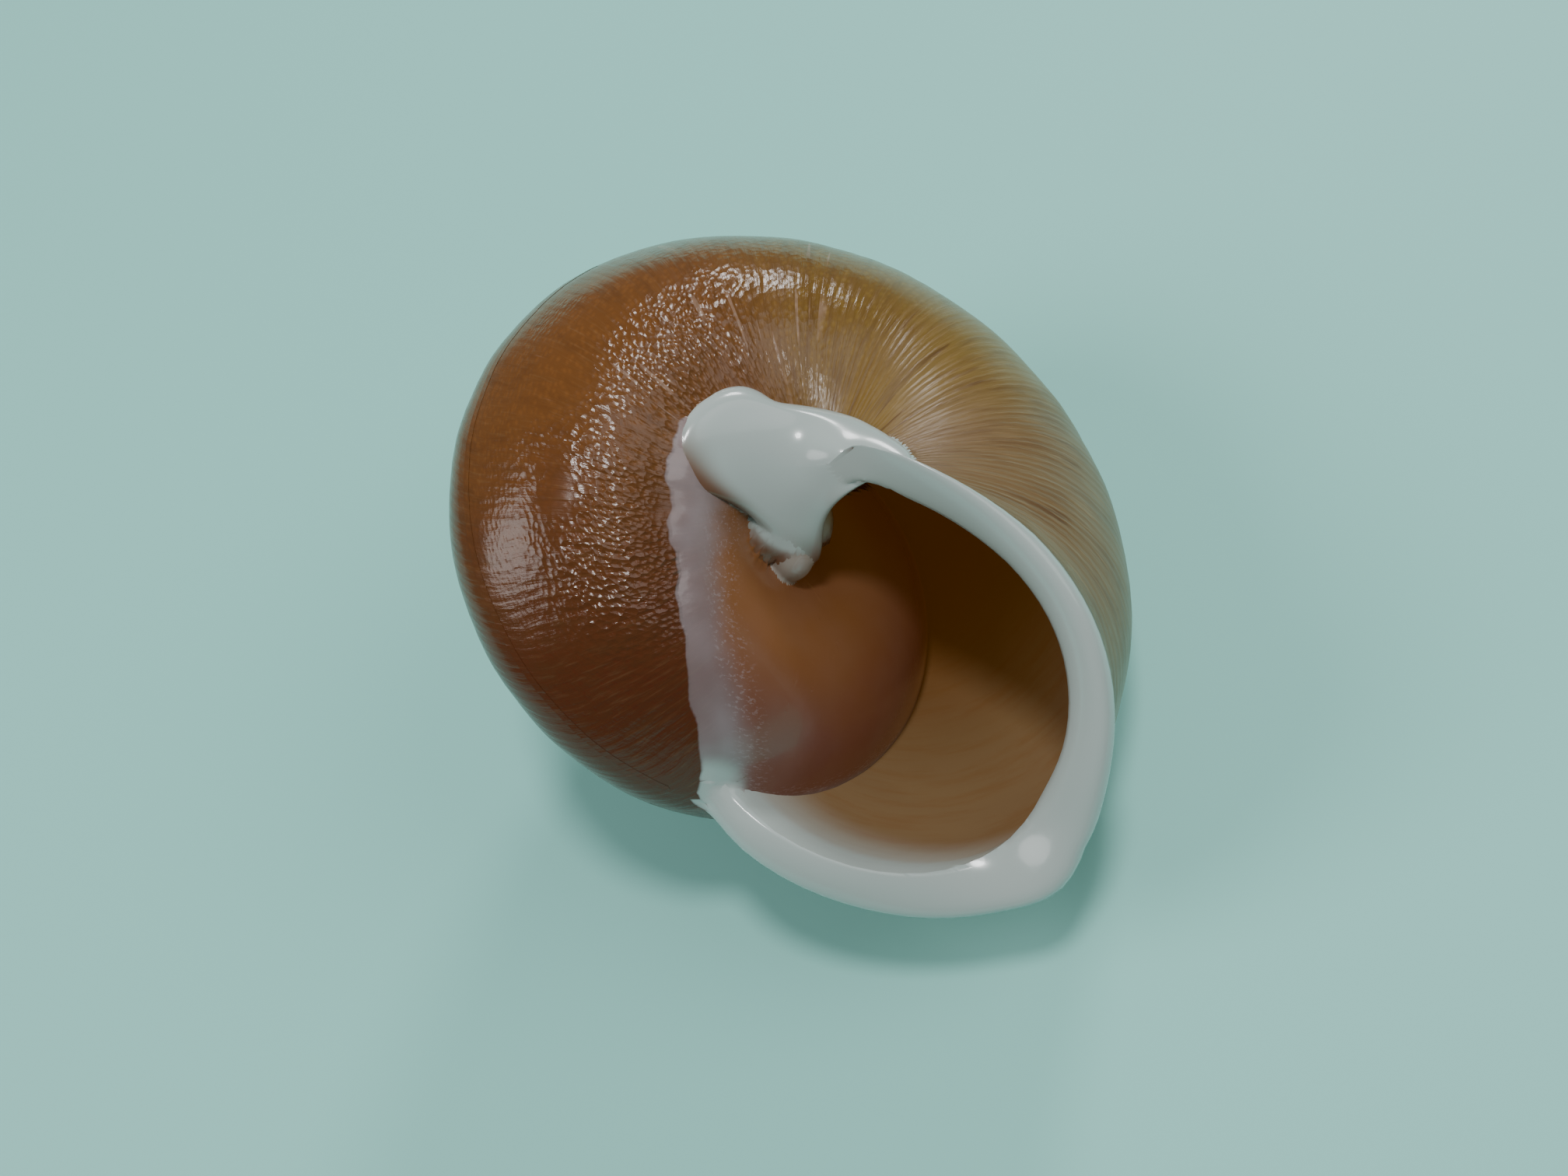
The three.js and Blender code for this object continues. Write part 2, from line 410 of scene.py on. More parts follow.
class Section:
    """Places round the whorl's section, with the lip's lead and flare at each."""

    def __init__(self, s, growth):
        step = 1e-3
        self.s = s
        self.rate = math.log(growth.whorl_growth) / TURN
        self.drop = growth.spire_drop
        self.reach = growth.spire_reach
        self.radius = around(0, s)
        self.height = around(1, s)
        dr = around(0, s + step) - around(0, s - step)
        dz = around(1, s + step) - around(1, s - step)
        length = np.hypot(dr, dz)
        self.out_r = dz / length
        self.out_z = -dr / length
        # The lip draws back at the pillar and above it, flares to a corner at the shoulder,
        # and is thinner along the pillar and on the base
        pillar = facing(s, 172, 0.55, 0.35)
        above = facing(s, 140, 0.75, 0.25)
        self.lead = np.radians(around(2, s) - 34 * pillar - 28 * above)
        corner = np.exp(-(((s - math.radians(9)) / math.radians(9)) ** 2))
        self.flare = np.maximum(0.0, around(3, s)) + 0.55 * corner
        inner_side = facing(s, 178, 0.35, 0.5)
        base_side = facing(s, 288, 0.4, 0.5)
        self.thin = 1 - 0.62 * inner_side - 0.2 * base_side - 0.2 * above
        # How far a radian of growth reaches at the lip, in millimetres
        along = np.hypot(self.radius, self.rate * np.hypot(self.radius, self.height))
        self.arc = np.maximum(along, LEAST_ARC)

    def points(self, growth, out):
        """Points of the tube at growth angles, moved out by distances; the arrays match s."""
        angle = growth + self.lead
        scale = np.exp(self.rate * angle)
        radius = scale * self.radius + out * self.out_r
        grown = scale * self.height + out * self.out_z
        height = grown - self.drop * np.exp(-((grown / self.reach) ** 2))
        return np.stack([radius * np.cos(angle), radius * np.sin(angle), height], axis=-1)

    def plain(self, growth):
        """Points of one ring before the spire is pressed down."""
        angle = growth + self.lead
        scale = np.exp(self.rate * angle)
        radius = scale * self.radius
        height = scale * self.height
        return np.stack([radius * np.cos(angle), radius * np.sin(angle), height], axis=-1)


def callus_film(section, points, growth):
    """How far inside the callus's edge the outside lies, and how far the callus raises it."""
    degrees = (np.degrees(np.arctan2(points[..., 1], points[..., 0])) + 125) % 360 - 125
    edge = np.interp(degrees, CALLUS_EDGE[:, 0], CALLUS_EDGE[:, 1], right=0)
    edge = edge + 0.16 * np.sin(degrees * 0.31) + 0.09 * np.sin(degrees * 0.83 + 1.0)
    inside = edge - np.hypot(points[..., 0], points[..., 1])
    # It ends at the widest part of the whorl, just past place 0, and never climbs the spire
    over = np.where(section.s > math.pi, section.s - TURN, section.s)
    inside = np.minimum(inside, (0.12 - over) * 14.0)
    under_lip = (growth > -2.15 * math.pi) & (growth < -0.55 * math.pi)
    in_mouth = (growth > -2.8 * math.pi) & (growth < -1.4 * math.pi)
    covered = np.where(degrees < 5, in_mouth, under_lip)
    inside = np.where(covered, np.clip(inside, -3.0, 8.0), -3.0)
    thick = mixed(0.14, 0.32, smooth((degrees - 40) / 70))
    return inside, thick * np.sqrt(smooth(inside / 1.1))


def waves(growth, s):
    """The growth waves and dents of the outside, in millimetres before scaling."""
    slow = np.sin(growth * 17 + 1.3 * np.sin(s * 2) + 0.8 * np.sin(growth * 5))
    quick = np.sin(growth * 61 + 0.9 * np.sin(s * 3 + growth * 7))
    fine = np.sin(growth * 118 + 0.7 * np.sin(s * 5 - growth * 11))
    patch = 0.5 + 0.5 * np.sin(growth * 7.3 + 1.9 * np.sin(s * 3.1)) * np.sin(s * 4.0 + growth)
    return 0.035 * slow + 0.014 * quick * patch + 0.008 * fine * patch


# ---- solids -----------------------------------------------------------------------------


def alone(obj):
    """Selects one object and makes it the active one."""
    bpy.ops.object.select_all(action="DESELECT")
    obj.select_set(True)
    bpy.context.view_layer.objects.active = obj


def coordinates(obj):
    """The points of a mesh, in rows."""
    co = np.empty(len(obj.data.vertices) * 3)
    obj.data.vertices.foreach_get("co", co)
    return co.reshape(-1, 3)


def place(obj, points):
    """Moves the points of a mesh to new places."""
    obj.data.vertices.foreach_set("co", np.ascontiguousarray(points, dtype=np.float64).ravel())
    obj.data.update()


def faced_out():
    """Makes all faces of the mesh in edit mode point outwards, and leaves edit mode."""
    bpy.ops.mesh.select_all(action="SELECT")
    bpy.ops.mesh.normals_make_consistent(inside=False)
    bpy.ops.object.mode_set(mode="OBJECT")


def extruded_tube(name, section, start, end, steps):
    """A closed tube: a ring drawn along the growth, turned and enlarged a little each time."""
    bpy.ops.object.select_all(action="DESELECT")
    bpy.ops.mesh.primitive_circle_add(vertices=len(section.s), radius=1, fill_type="NGON")
    tube = bpy.context.object
    tube.name = name
    place(tube, section.plain(start))
    turn = (end - start) / steps
    size = math.exp(section.rate * turn)
    bpy.ops.object.mode_set(mode="EDIT")
    bpy.ops.mesh.select_all(action="SELECT")
    for _ in range(steps):
        bpy.ops.mesh.extrude_region()
        bpy.ops.transform.rotate(value=-turn, orient_axis="Z", center_override=(0, 0, 0))
        bpy.ops.transform.resize(value=(size, size, size), center_override=(0, 0, 0))
    bpy.ops.mesh.select_all(action="DESELECT")
    bpy.ops.mesh.select_mode(type="FACE")
    bpy.ops.object.mode_set(mode="OBJECT")
    for face in tube.data.polygons:
        face.select = len(face.vertices) > 4
    bpy.ops.object.mode_set(mode="EDIT")
    bpy.ops.mesh.poke()
    faced_out()
    return tube


def shaped(tube, section, growth, out, dome=0):
    """Moves a tube's rings to their growth angles and distances out, centres its ends, and
    rounds off its first rings to a dome."""
    points = section.points(growth, out)
    for i in range(dome):
        centre = points[i].mean(axis=0)
        points[i] = centre + (points[i] - centre) * math.sqrt(1 - (1 - (i + 0.02) / dome) ** 2)
    ends = [points[0].mean(axis=0), points[-1].mean(axis=0)]
    own = coordinates(tube)[-2:]
    if np.linalg.norm(own[0] - ends[0]) > np.linalg.norm(own[1] - ends[0]):
        ends.reverse()
    place(tube, np.concatenate([points.reshape(-1, 3), ends]))


def even_rings(section, start, end, steps):
    """Growth angles of evenly spaced rings."""
    return np.linspace(start, end, steps + 1)[:, None] + 0 * section.s


def lip_rings(section, profile, steps):
    """Growth angles and distances out of the last half turn, which ends in a lip profile."""
    plain = steps + 1 - len(profile)
    start = -profile[0, 0] / section.arc
    left = 1 - np.arange(plain)[:, None] / plain
    growth = start - (math.pi + start) * left
    tip = -profile[:, 0:1] / section.arc
    out = profile[:, 1:2] * section.flare + profile[:, 2:3] * section.thin
    return np.concatenate([growth, tip]), np.concatenate([np.zeros_like(growth), out])


def write(mesh, key, values):
    """Stores one value for each corner of a mesh under a name."""
    layer = mesh.attributes.new(key, "FLOAT", "CORNER")
    layer.data.foreach_set("value", values.astype(np.float32))


def note(tube, section, growth, inside, film, white):
    """Writes where each corner lies, for the finish: growth, distance behind the lip's edge,
    film, white, place round the section, and whether it is inside."""
    mesh = tube.data
    behind = -growth * section.arc
    columns = {
        "growth": growth.ravel(),
        "behind": np.clip(behind, -5, 60).ravel(),
        "film": np.broadcast_to(film, growth.shape).ravel(),
        "pad": np.broadcast_to(white, growth.shape).ravel(),
    }
    loops = np.empty(len(mesh.loops), dtype=np.int64)
    mesh.loops.foreach_get("vertex_index", loops)
    starts = np.empty(len(mesh.polygons), dtype=np.int64)
    mesh.polygons.foreach_get("loop_start", starts)
    face = np.searchsorted(starts, np.arange(len(loops)), side="right") - 1
    # The centres of the two ends come after the rings and take the last ring's values
    clipped = np.minimum(loops, growth.size - 1)
    for key, values in columns.items():
        write(mesh, key, values[clipped])
    # A face across the seam goes on past a full turn instead of back to 0
    s = section.s[clipped % len(section.s)]
    high = np.full(len(starts), -1.0)
    np.maximum.at(high, face, s)
    s = np.where((high[face] > 1.5 * math.pi) & (s < 0.5 * math.pi), s + TURN, s)
    write(mesh, "round", s)
    write(mesh, "within", np.full(len(loops), inside))


def outside_solid(section, settings, index, reach=0.0):
    """The outside of one half turn, index 0 being the last, as a closed solid."""
    start = -(index + 1) * math.pi
    end = -index * math.pi + reach
    fine = OUTSIDE_STEPS if index < 4 else 0.6 * OUTSIDE_STEPS
    steps = round(fine * (end - start) / math.pi)
    tube = extruded_tube("outside", section, start, end, steps)
    if index == 0:
        growth, out = lip_rings(section, LIP_PROFILE, steps)
    else:
        growth = even_rings(section, start, end, steps)
        out = np.zeros_like(growth)
    base = section.points(growth, out)
    film, callus = callus_film(section, base, growth)
    size = np.exp(section.rate * growth)
    behind = -growth * section.arc
    # The waves leave out the lip and the apex, and hardly show through the callus
    rough = smooth((behind - 3.0) / 3.0) * smooth((growth + 8.2 * math.pi) / 2.0)
    bare = 1 - 0.9 * smooth((film + 0.3) / 0.9)
    relief = settings.relief * size * waves(growth, section.s) * rough * bare
    dome = steps // 3 if index == settings.half_turns - 1 else 0
    shaped(tube, section, growth, out + callus + relief, dome)
    white = near(base, LIP_END)
    if index == 0:
        beside = near(base, BESIDE_PAD) * (section.s > 2.4) * (section.s < 4.0)
        white = np.maximum(white, beside)
        film = np.maximum(film, 8 * beside - 3)
    note(tube, section, growth, 0.0, film, white)
    return tube


def hollow_solid(section, settings, index):
    """The hollow of one half turn as a closed solid."""
    start = -(index + 1) * math.pi
    end = -index * math.pi
    steps = HOLLOW_STEPS if index else 2 * HOLLOW_STEPS
    tube = extruded_tube("hollow", section, start, end, steps)
    if index == 0:
        growth, out = lip_rings(section, MOUTH_PROFILE, steps)
        plain = steps + 1 - len(MOUTH_PROFILE)
        out[:plain] = -settings.wall * np.exp(section.rate * growth[:plain])
    else:
        growth = even_rings(section, start, end, steps)
        out = -settings.wall * np.exp(section.rate * growth)
    shaped(tube, section, growth, out)
    note(tube, section, growth, 1.0, -3.0, 0.0)
    return tube


def combined(target, other, operation):
    """Applies one solid to another and removes the second."""
    alone(target)
    cut = target.modifiers.new(operation.lower(), "BOOLEAN")
    cut.operation = operation
    cut.solver = "MANIFOLD"
    cut.object = other
    bpy.ops.object.modifier_apply(modifier=cut.name)
    bpy.data.objects.remove(other)
    return target


def copied(obj):
    """A twin of an object with its own mesh."""
    twin = obj.copy()
    twin.data = obj.data.copy()
    bpy.context.collection.objects.link(twin)
    return twin


def closed_curve(rows, count):
    """A smooth closed curve along rows, as the strengths and numbers of its waves."""
    joined_rows = np.vstack([rows, rows[:1]])
    length = np.linalg.norm(np.diff(joined_rows[:, :3], axis=0), axis=1)
    knots = np.concatenate([[0.0], np.cumsum(length)])
    places = np.linspace(0, knots[-1], count, endpoint=False)
    samples = np.stack([np.interp(places, knots, column) for column in joined_rows.T], axis=1)
    numbers = np.fft.fftfreq(count, 1 / count)
    softening = np.exp(-((numbers / 26.0) ** 2))
    return np.fft.fft(samples, axis=0) / count * softening[:, None], numbers


def pad_solid():
    """The thick callus pad over the navel: a ball drawn out to a skin across its outline."""
    bpy.ops.object.select_all(action="DESELECT")
    bpy.ops.mesh.primitive_uv_sphere_add(segments=144, ring_count=44, radius=1)
    pad = bpy.context.object
    face = np.array(PAD_FACE)
    ball = coordinates(pad)
    turn = np.arctan2(ball[:, 1], ball[:, 0])
    out = np.clip(np.hypot(ball[:, 0], ball[:, 1]), 0.0, 1.0)
    strengths, numbers = closed_curve(PAD_OUTLINE, 256)
    reach = np.maximum(out, 1e-9)[:, None] ** np.abs(numbers)
    rows = np.real((reach * np.exp(1j * turn[:, None] * numbers)) @ strengths)
    place_on, thick, deep, white = rows[:, :3], rows[:, 3], rows[:, 4], rows[:, 5]
    rim = np.clip((out - 0.8) / 0.2, 0.0, 1.0)
    lift = -0.3 + (0.3 + thick) * np.sqrt(1 - rim**2)
    under = -0.3 - deep * np.minimum(1.0, -ball[:, 2] * 1.7)
    x, y, z, width, rise = PAD_SWELL
    gap = np.linalg.norm(place_on - np.array((x, y, z)), axis=1)
    lift = lift + rise * np.exp(-((gap / width) ** 2)) * (1 - rim)
    w = np.where(ball[:, 2] >= -1e-6, lift, under)
    place(pad, place_on + w[:, None] * face)
    bpy.ops.object.mode_set(mode="EDIT")
    faced_out()
    mark(pad, -3.2, mixed(white, 1.0, smooth((1.0 - out) / 0.55)))
    return pad


def fold_end():
    """The low swelling in which the fold ends on the wall."""
    x, y, z, size = FOLD_END
    bpy.ops.object.select_all(action="DESELECT")
    bpy.ops.mesh.primitive_uv_sphere_add(segments=48, ring_count=24, radius=size, location=(x, y, z))
    end = bpy.context.object
    bpy.ops.object.transform_apply(location=True, rotation=True, scale=True)
    mark(end, -5.2, 0.45)
    return end


def mark(obj, growth, white):
    """Writes the marks that a tube has, for a solid of thick callus: the growth angle that its
    finish goes by, and how white it is, all over or for each point."""
    values = {"growth": growth, "behind": 30.0, "round": 4.5, "within": 0.0, "film": 5.0, "pad": white}
    loops = np.empty(len(obj.data.loops), dtype=np.int64)
    obj.data.loops.foreach_get("vertex_index", loops)
    for key, value in values.items():
        each = value + np.zeros(len(obj.data.vertices))
        write(obj.data, key, each[loops])


def core_solid():
    """The core of the pillar: a disc drawn up ring by ring, which closes the navel."""
    radius, height = CORE[0]
    bpy.ops.object.select_all(action="DESELECT")
    bpy.ops.mesh.primitive_circle_add(
        vertices=48, radius=radius, fill_type="TRIFAN", location=(0, 0, height)
    )
    core = bpy.context.object
    bpy.ops.object.transform_apply(location=True, rotation=True, scale=True)
    bpy.ops.object.mode_set(mode="EDIT")
    bpy.ops.mesh.select_all(action="SELECT")
    for wide, high in CORE[1:]:
        bpy.ops.mesh.extrude_region_move(TRANSFORM_OT_translate={"value": (0, 0, high - height)})
        size = wide / radius
        bpy.ops.transform.resize(value=(size, size, 1), center_override=(0, 0, high))
        radius, height = wide, high
    faced_out()
    mark(core, -3.2, smooth((CORE_WHITE_TOP - coordinates(core)[:, 2]) / CORE_WHITE_SPAN))
    return core


def softened(obj):
    """Rounds off the joins of pillar, fold, lip and mouth with a smoothing held to them."""
    points = coordinates(obj)
    weight = np.zeros(len(points))
    for x, y, z, radius in SOFT_PLACES:
        gap = np.linalg.norm(points - np.array((x, y, z)), axis=1)
        weight = np.maximum(weight, 1 - smooth((gap / radius - 0.55) / 0.45))
    group = obj.vertex_groups.new(name="soft")
    for i in np.nonzero(weight > 0.02)[0]:
        group.add([int(i)], float(weight[i]), "REPLACE")
    alone(obj)
    ease = obj.modifiers.new("soft", "SMOOTH")
    ease.factor = 0.5
    ease.iterations = 20
    ease.vertex_group = group.name
    bpy.ops.object.modifier_apply(modifier=ease.name)
    obj.vertex_groups.clear()


def laid_down(obj):
    """Turns the grown shell into its resting pose, in metres, on the ground over the origin."""
    up = np.array(REST_UP)
    right = np.cross(-np.array(REST_FRONT), up)
    right /= np.linalg.norm(right)
    back = np.cross(up, right)
    points = coordinates(obj) @ np.stack([right, back, up]).T
    middle = (points.min(axis=0) + points.max(axis=0)) / 2
    middle[2] = points[:, 2].min()
    place(obj, (points - middle) / 1000)


# ---- finishes ---------------------------------------------------------------------------


class Value:
    """A shader socket that takes part in Python expressions."""

    def __init__(self, tree, socket):
        self.tree = tree
        self.socket = socket

    def math(self, operation, *values):
        """The result of a maths node on values or plain numbers."""
        return self.tree.node("ShaderNodeMath", {"operation": operation}, values)

    def __add__(self, other):
        return self.math("ADD", self, other)

    __radd__ = __add__

    def __sub__(self, other):
        return self.math("SUBTRACT", self, other)

    def __rsub__(self, other):
        return self.math("SUBTRACT", other, self)

    def __mul__(self, other):
        return self.math("MULTIPLY", self, other)

    __rmul__ = __mul__

    def sin(self):
        return self.math("SINE", self)

    def cos(self):
        return self.math("COSINE", self)

    def high(self, other):
        """The higher of two values."""
        return self.math("MAXIMUM", self, other)

    def between(self, start, end):
        """0 before start, 1 after end, and smooth on the way; start may be above end."""
        settings = {"interpolation_type": "SMOOTHSTEP"}
        inputs = {"Value": self, "From Min": start, "From Max": end, "To Min": 0.0, "To Max": 1.0}
        if start > end:
            inputs.update({"From Min": end, "From Max": start, "To Min": 1.0, "To Max": 0.0})
        return self.tree.node("ShaderNodeMapRange", settings, inputs)

    def hump(self, centre, width):
        """1 about a centre, falling to 0 at a width on both sides."""
        rising = self.between(centre - width, centre - width * 0.3)
        return rising * self.between(centre + width, centre + width * 0.3)


class Finish:
    """A material and the nodes that make it up."""

    def __init__(self, name):
        self.material = bpy.data.materials.new(name)
        self.material.use_nodes = True
        self.nodes = self.material.node_tree.nodes
        self.links = self.material.node_tree.links
        self.nodes.clear()

    def node(self, kind, settings=None, inputs=None, output=0):
        """Adds a node: its settings first, then the values or links of its sockets."""
        made = self.nodes.new(kind)
        for key, value in (settings or {}).items():
            setattr(made, key, value)
        if isinstance(inputs, dict):
            pairs = inputs.items()
        else:
            pairs = enumerate(inputs or ())
        for key, value in pairs:
            socket = made.inputs[key]
            if isinstance(value, Value):
                self.links.new(value.socket, socket)
            else:
                socket.default_value = value
        return Value(self, made.outputs[output]) if len(made.outputs) else None

    def noted(self, name):
        """A mark that the mesh carries."""
        return self.node("ShaderNodeAttribute", {"attribute_name": name}, output="Fac")

    def vector(self, x, y, z):
        return self.node("ShaderNodeCombineXYZ", {}, (x, y, z))

    def noise(self, place, scale, detail=2.0, rough=0.5):
        inputs = {"Vector": place, "Scale": scale, "Detail": detail, "Roughness": rough}
        return self.node("ShaderNodeTexNoise", {}, inputs, "Fac")

    def cells(self, place, scale):
        inputs = {"Vector": place, "Scale": scale}
        return self.node("ShaderNodeTexVoronoi", {"feature": "F1"}, inputs, "Distance")

    def blend(self, share, first, second):
        """The first colour, going over to the second as share goes from 0 to 1."""
        inputs = {0: share, 6: self.colour(first), 7: self.colour(second)}
        return self.node("ShaderNodeMix", {"data_type": "RGBA"}, inputs, 2)

    def colour(self, value):
        return value if isinstance(value, Value) else (*tuple(value)[:3], 1.0)

    def surface(self, inputs):
        """Joins the shader to the output and gives the finished material."""
        shader = self.node("ShaderNodeBsdfPrincipled", {}, inputs)
        self.node("ShaderNodeOutputMaterial", {}, {"Surface": shader})
        return self.material


class ShellFinish(Finish):
    """The whole shell's finish, from the growing skin over the white lip into the mouth."""

    def __init__(self, colours):
        super().__init__("shell")
        self.colours = colours
        # The marks on the mesh
        self.growth = self.noted("growth")
        self.across = self.noted("round")
        self.behind = self.noted("behind")
        self.film = self.noted("film")
        self.pad = self.noted("pad")
        self.within = self.noted("within")
        # Patterns: clouds, streaks along the growth lines, fine lines and dents in rows
        x = self.across.cos()
        y = self.across.sin()
        self.spot = self.node("ShaderNodeTexCoord", {}, {}, "Object")
        self.cloud = self.noise(self.spot, 150.0, 3.0, 0.55)
        self.speckle = self.noise(self.spot, 620.0, 3.0, 0.6)
        self.streaks = self.noise(self.vector(self.growth * 6.0, x, y), 3.2, 4.0, 0.6)
        self.thin = self.noise(self.vector(self.growth * 30.0, x * 1.6, y * 1.6), 2.6, 3.0, 0.6)
        self.bold = self.noise(self.vector(self.growth * 9.0, x * 0.5, y * 0.5), 3.0, 1.0, 0.4)
        along = self.growth * 36.0 + (self.cloud - 0.5) * 3.0
        self.dents = self.cells(self.vector(along, self.across * 27.0 + self.speckle * 1.2, 0.0), 1.0)
        # Regions: the last part of the whorl, the base, the outer wall's upper part, and the
        # wall in the mouth
        uneven = (self.cloud - 0.5) * 0.5 + (self.streaks - 0.5) * 0.5
        self.late = (self.growth + uneven).between(-2.3, -1.5)
        self.to_base = (self.across - 4.9).cos()
        self.above = (self.across - 4.3).cos().between(-0.1, 0.9)
        self.in_mouth = self.growth.between(-3.6, -4.6)

    def skin(self):
        """The growing skin, from the spire to the lip."""
        growth, cloud, late, colours = self.growth, self.cloud, self.late, self.colours
        mid = (growth + (cloud - 0.5) * 0.9).between(-5.0, -3.6)
        early = (growth + (cloud - 0.5) * 0.6).between(-6.6, -9.0)
        olive = growth.between(-3.0, -2.2) * growth.between(-0.9, -1.6)
        olive = olive * self.to_base.between(0.3, 0.95)
        skin = self.blend(mid, colours.russet, colours.orange)
        skin = self.blend(early, skin, colours.spire)
        skin = self.blend(late, skin, colours.tan)
        skin = self.blend(olive * 0.8, skin, colours.olive)
        skin = self.blend(self.streaks.between(0.42, 0.72) * 0.4, skin, colours.streak)
        skin = self.blend(self.thin.between(0.5, 0.78) * (0.12 + late * 0.25), skin, colours.pale)
        dark_line = self.bold.between(0.66, 0.7) * (0.15 + late * 0.55) * cloud.between(0.3, 0.6)
        skin = self.blend(dark_line, skin, colours.streak)
        scuff = self.bold.between(0.36, 0.33) * cloud.between(0.52, 0.62)
        scuff = scuff * growth.between(-4.0, -3.4) * growth.between(-1.6, -1.9)
        skin = self.blend(scuff * 0.55, skin, colours.scuff)
        return self.blend(self.dents.between(0.1, 0.6) * 0.3 * (1.0 - late), skin, colours.streak)

    def covered(self, skin):
        """The skin with the callus film on it: orange near the pillar, wine red further out,
        and milky towards the film's edge."""
        film, cloud, colours = self.film, self.cloud, self.colours
        wall = self.blend(self.across.between(4.75, 5.7), colours.amber, colours.wine)
        wall = self.blend(cloud.between(0.4, 0.7) * 0.25, wall, colours.orange)
        skin = self.blend(film.between(1.5, 4.5) * self.in_mouth, skin, wall)
        veil = mixed(1.0, 0.16, film.between(1.6, 5.2)) * film.between(-0.06, 0.12)
        veil = veil * mixed(0.42, 0.8, self.noise(self.spot, 210.0, 2.0, 0.5).between(0.25, 0.75))
        skin = self.blend(veil, skin, colours.veil)
        place_on = self.vector(self.growth * 34.0, self.across * 50.0, cloud * 6.0)
        scratch = self.noise(place_on, 1.0, 3.0, 0.7).between(0.54, 0.64)
        scratch = scratch * film.between(1.8, 3.0) * film.between(6.8, 4.2)
        return self.blend(scratch * self.growth.between(-3.8, -4.4) * 0.4, skin, colours.veil)

    def lining(self):
        """The mouth's outer wall: ochre above and fawn towards the foot of the lip."""
        colours = self.colours
        inner = self.blend(self.above, colours.fawn, colours.ochre)
        inner = self.blend(self.growth.between(-0.7, -1.9), inner, colours.deep)
        return self.blend(self.streaks.between(0.4, 0.8) * 0.3, inner, colours.amber)

    def whitened(self, body):
        """The colour with the white lip, its soft inner border and the pad, and how white."""
        behind, within, colours = self.behind, self.within, self.colours
        lip = mixed(behind.between(1.5, 1.1), behind.between(3.8, 2.4), within)
        soft = behind.between(8.5, 2.6) * within * mixed(1.0, 0.35, self.above)
        body = self.blend(soft * 0.75, body, colours.lip)
        rim_line = behind.between(2.3, 1.6) * (1.0 - within) * (1.0 - lip) * 0.5
        body = self.blend(rim_line, body, colours.streak)
        white = lip.high(self.pad.between(0.1, 0.85) * self.film.between(-0.06, 0.25))
        return self.blend(white, body, colours.lip), white

    def relief(self, smooth_wall):
        """Growth lines and rows of dents on the skin, and low swells all over."""
        growth, across, cloud = self.growth, self.across, self.cloud
        lines = (growth * 150.0 + (self.streaks - 0.5) * 8.0 + (cloud - 0.5) * 6.0).sin()
        lines = lines * (0.006 + self.late * 0.005)
        dented = growth.between(-5.6, -4.6) * growth.between(-1.7, -2.5)
        dented = dented * self.to_base.between(0.1, 0.6) * cloud.between(0.3, 0.5)
        side_patch = growth.hump(-4.3, 0.75) * across.hump(5.2, 0.65)
        upper_patch = growth.hump(-3.2, 0.6) * across.hump(5.0, 0.5)
        dented = dented * (side_patch.high(upper_patch) * 0.8 + 0.2)
        height = lines + self.thin * 0.03 + self.speckle * 0.015 + self.dents * 0.15 * dented
        height = height * (1.0 - smooth_wall * 0.93) + self.noise(self.spot, 190.0, 1.0, 0.4) * 0.12
        inputs = {"Strength": 0.8, "Distance": 0.001, "Height": height}
        return self.node("ShaderNodeBump", {}, inputs)

    def glow(self, white):
        """Light that comes through the wall into the mouth."""
        colours = self.colours
        outer_wall = self.blend(self.above, colours.glow, colours.gold)
        glowing = self.within.high(self.film.between(2.0, 5.0) * self.in_mouth) * (1.0 - white)
        return self.blend(glowing, (0.0, 0.0, 0.0), self.blend(self.within, colours.glow, outer_wall))

    def finished(self):
        """The material."""
        body = self.blend(self.within, self.covered(self.skin()), self.lining())
        base, white = self.whitened(body)
        smooth_wall = self.film.between(-0.1, 0.3).high(self.within).high(white)
        rough = 0.13 + self.speckle * 0.14 + self.late * 0.12
        return self.surface(
            {
                "Base Color": base,
                "Roughness": mixed(rough, 0.2, smooth_wall),
                "Normal": self.relief(smooth_wall),
                "IOR": 1.5,
                "Coat Weight": smooth_wall * 0.3,
                "Coat Roughness": 0.06,
                "Emission Color": self.glow(white),
                "Emission Strength": 0.42,
            }
        )


def plain_finish(name, paint, rough):
    """One colour all over."""
    return Finish(name).surface({"Base Color": (*paint, 1.0), "Roughness": rough})


# ---- operators --------------------------------------------------------------------------


class SNAIL_OT_shell(bpy.types.Operator):
    """Grow the whole shell, lay it down and give it its finish"""

    bl_idname = "snail.shell"
    bl_label = "Shell"

    def execute(self, context):
        settings = context.scene.snail_growth
        outer = Section(even_places(settings.round_outside), settings)
        inner = Section(even_places(settings.round_inside), settings)
        outsides = [outside_solid(outer, settings, index) for index in range(settings.half_turns)]
        # The hollow of each half turn keeps clear of the whorls that it winds round
        hollow = None
        for index in range(settings.hollow_half_turns):
            one = hollow_solid(inner, settings, index)
            before = outside_solid(outer, settings, index + 2, 0.6 * math.pi)
            combined(one, before, "DIFFERENCE")
            for solid in outsides[index + 3 : index + 5]:
                combined(one, copied(solid), "DIFFERENCE")
            hollow = one if hollow is None else combined(hollow, one, "UNION")
        shell = outsides[0]
        for solid in outsides[1:]:
            combined(shell, solid, "UNION")
        combined(shell, hollow, "DIFFERENCE")
        combined(shell, core_solid(), "UNION")
        combined(shell, fold_end(), "UNION")
        combined(shell, pad_solid(), "UNION")
        shell.name = "land_snail_shell"
        softened(shell)
        laid_down(shell)
        alone(shell)
        bpy.ops.object.shade_smooth_by_angle(angle=math.radians(60))
        shell.data.materials.clear()
        shell.data.materials.append(ShellFinish(context.scene.snail_colours).finished())
        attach(shell, "root")
        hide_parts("shell")
        return {"FINISHED"}


